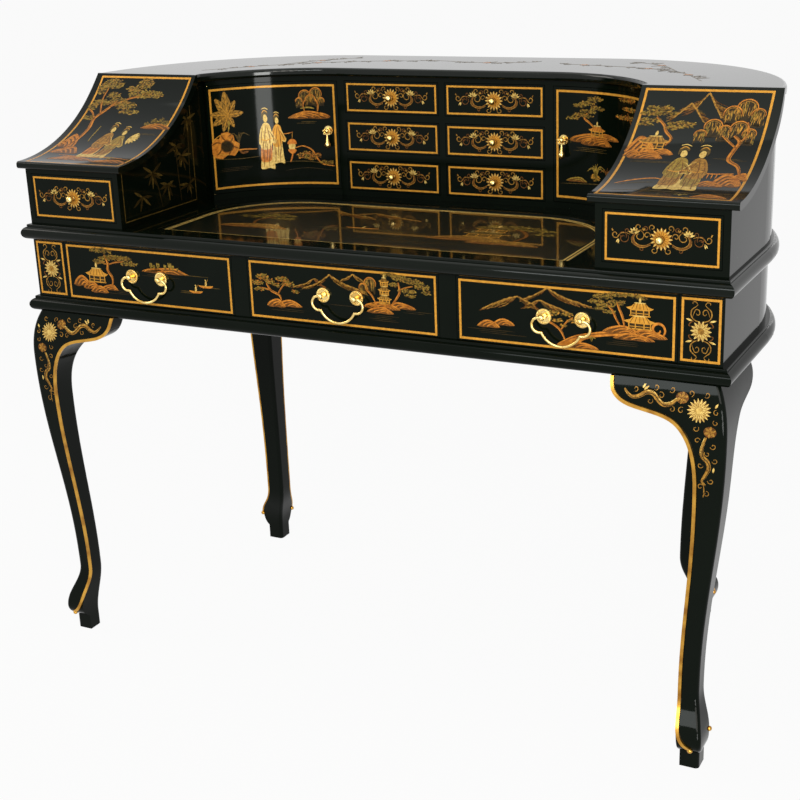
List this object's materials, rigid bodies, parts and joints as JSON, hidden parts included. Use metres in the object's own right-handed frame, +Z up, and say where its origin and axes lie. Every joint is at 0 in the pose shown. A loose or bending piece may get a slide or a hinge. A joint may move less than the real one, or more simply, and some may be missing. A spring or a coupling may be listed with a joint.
{
  "type": "writing desk",
  "caption": "Black-lacquered writing desk with a D-shaped back, a raised U-shaped gallery of small drawers and curved doors, scooped wings, frieze drawers and cabriole legs.",
  "frame": {"origin": "on the floor, under the centre of the whole outline, toes and mouldings", "axes": "+X to the right seen from the sitter's side, +Y to the back, +Z up"},
  "size_m": [1.215, 0.611, 0.972],
  "materials": {
    "lacquer": "glossy black lacquer",
    "gilt_wood": "satin gilding",
    "brass": "polished",
    "drawer_wood": "waxed"
  },
  "bodies": {
    "desk": {"base_board": "lacquer", "corner_posts": "lacquer", "door_pins": "brass", "door_rails": "lacquer", "drawer_dividers": "lacquer", "drawer_runners": "drawer_wood", "frieze_walls": "lacquer", "gallery_partitions": "lacquer", "gallery_shelves": "lacquer", "gallery_top": "lacquer", "gallery_walls": "lacquer", "knee_brackets": "lacquer", "left_lid": "lacquer", "leg_beads": "gilt_wood", "leg_front_left": "lacquer", "leg_front_right": "lacquer", "leg_rear_left": "lacquer", "leg_rear_right": "lacquer", "right_lid": "lacquer", "wing_inner_walls": "lacquer", "wing_outer_walls": "lacquer", "wing_rails": "lacquer", "writing_deck": "lacquer", "writing_panel": "lacquer"},
    "left_drawer": {"left_drawer_front": "lacquer", "left_drawer_box": "drawer_wood", "left_drawer_posts": "brass"},
    "left_bail": {"left_drawer_bail": "brass"},
    "middle_drawer": {"middle_drawer_front": "lacquer", "middle_drawer_box": "drawer_wood", "middle_drawer_posts": "brass"},
    "middle_bail": {"middle_drawer_bail": "brass"},
    "right_drawer": {"right_drawer_front": "lacquer", "right_drawer_box": "drawer_wood", "right_drawer_posts": "brass"},
    "right_bail": {"right_drawer_bail": "brass"},
    "lower_left_drawer": {"lower_left_drawer": "lacquer", "lower_left_drawer_knob": "brass"},
    "centre_left_drawer": {"centre_left_drawer": "lacquer", "centre_left_drawer_knob": "brass"},
    "upper_left_drawer": {"upper_left_drawer": "lacquer", "upper_left_drawer_knob": "brass"},
    "wing_left_drawer": {"wing_left_drawer": "lacquer", "wing_left_drawer_knob": "brass"},
    "left_door": {"left_door": "lacquer", "left_pull_rose": "brass"},
    "left_pull": {"left_pull_drop": "brass"},
    "lower_right_drawer": {"lower_right_drawer": "lacquer", "lower_right_drawer_knob": "brass"},
    "centre_right_drawer": {"centre_right_drawer": "lacquer", "centre_right_drawer_knob": "brass"},
    "upper_right_drawer": {"upper_right_drawer": "lacquer", "upper_right_drawer_knob": "brass"},
    "wing_right_drawer": {"wing_right_drawer": "lacquer", "wing_right_drawer_knob": "brass"},
    "right_door": {"right_door": "lacquer", "right_pull_rose": "brass"},
    "right_pull": {"right_pull_drop": "brass"}
  },
  "joints": [
    {"name": "left_drawer_slide", "type": "slide", "parent": "desk", "child": "left_drawer", "axis": [0, -1, 0], "range_m": [0, 0.27]},
    {"name": "left_bail_swing", "type": "hinge", "parent": "left_drawer", "child": "left_bail", "pos_m": [-0.36175, -0.2795, 0.6745], "axis": [-1, 0, 0], "range_deg": [0, 85]},
    {"name": "middle_drawer_slide", "type": "slide", "parent": "desk", "child": "middle_drawer", "axis": [0, -1, 0], "range_m": [0, 0.27]},
    {"name": "middle_bail_swing", "type": "hinge", "parent": "middle_drawer", "child": "middle_bail", "pos_m": [0, -0.2795, 0.6745], "axis": [-1, 0, 0], "range_deg": [0, 85]},
    {"name": "right_drawer_slide", "type": "slide", "parent": "desk", "child": "right_drawer", "axis": [0, -1, 0], "range_m": [0, 0.27]},
    {"name": "right_bail_swing", "type": "hinge", "parent": "right_drawer", "child": "right_bail", "pos_m": [0.36175, -0.2795, 0.6745], "axis": [-1, 0, 0], "range_deg": [0, 85]},
    {"name": "lower_left_drawer_slide", "type": "slide", "parent": "desk", "child": "lower_left_drawer", "axis": [0, -1, 0], "range_m": [0, 0.12]},
    {"name": "centre_left_drawer_slide", "type": "slide", "parent": "desk", "child": "centre_left_drawer", "axis": [0, -1, 0], "range_m": [0, 0.12]},
    {"name": "upper_left_drawer_slide", "type": "slide", "parent": "desk", "child": "upper_left_drawer", "axis": [0, -1, 0], "range_m": [0, 0.12]},
    {"name": "wing_left_drawer_slide", "type": "slide", "parent": "desk", "child": "wing_left_drawer", "axis": [0, -1, 0], "range_m": [0, 0.16]},
    {"name": "left_door_swing", "type": "hinge", "parent": "desk", "child": "left_door", "pos_m": [-0.4002, -0.00008, 0.854], "axis": [0, 0, -1], "range_deg": [0, 100]},
    {"name": "left_pull_swing", "type": "hinge", "parent": "left_door", "child": "left_pull", "pos_m": [-0.22002, 0.09727, 0.863], "axis": [-0.9941, -0.1083, 0], "range_deg": [0, 75]},
    {"name": "lower_right_drawer_slide", "type": "slide", "parent": "desk", "child": "lower_right_drawer", "axis": [0, -1, 0], "range_m": [0, 0.12]},
    {"name": "centre_right_drawer_slide", "type": "slide", "parent": "desk", "child": "centre_right_drawer", "axis": [0, -1, 0], "range_m": [0, 0.12]},
    {"name": "upper_right_drawer_slide", "type": "slide", "parent": "desk", "child": "upper_right_drawer", "axis": [0, -1, 0], "range_m": [0, 0.12]},
    {"name": "wing_right_drawer_slide", "type": "slide", "parent": "desk", "child": "wing_right_drawer", "axis": [0, -1, 0], "range_m": [0, 0.16]},
    {"name": "right_door_swing", "type": "hinge", "parent": "desk", "child": "right_door", "pos_m": [0.4002, -0.00008, 0.854], "axis": [0, 0, 1], "range_deg": [0, 100]},
    {"name": "right_pull_swing", "type": "hinge", "parent": "right_door", "child": "right_pull", "pos_m": [0.22002, 0.09727, 0.863], "axis": [-0.9941, 0.1083, 0], "range_deg": [0, 75]}
  ]
}
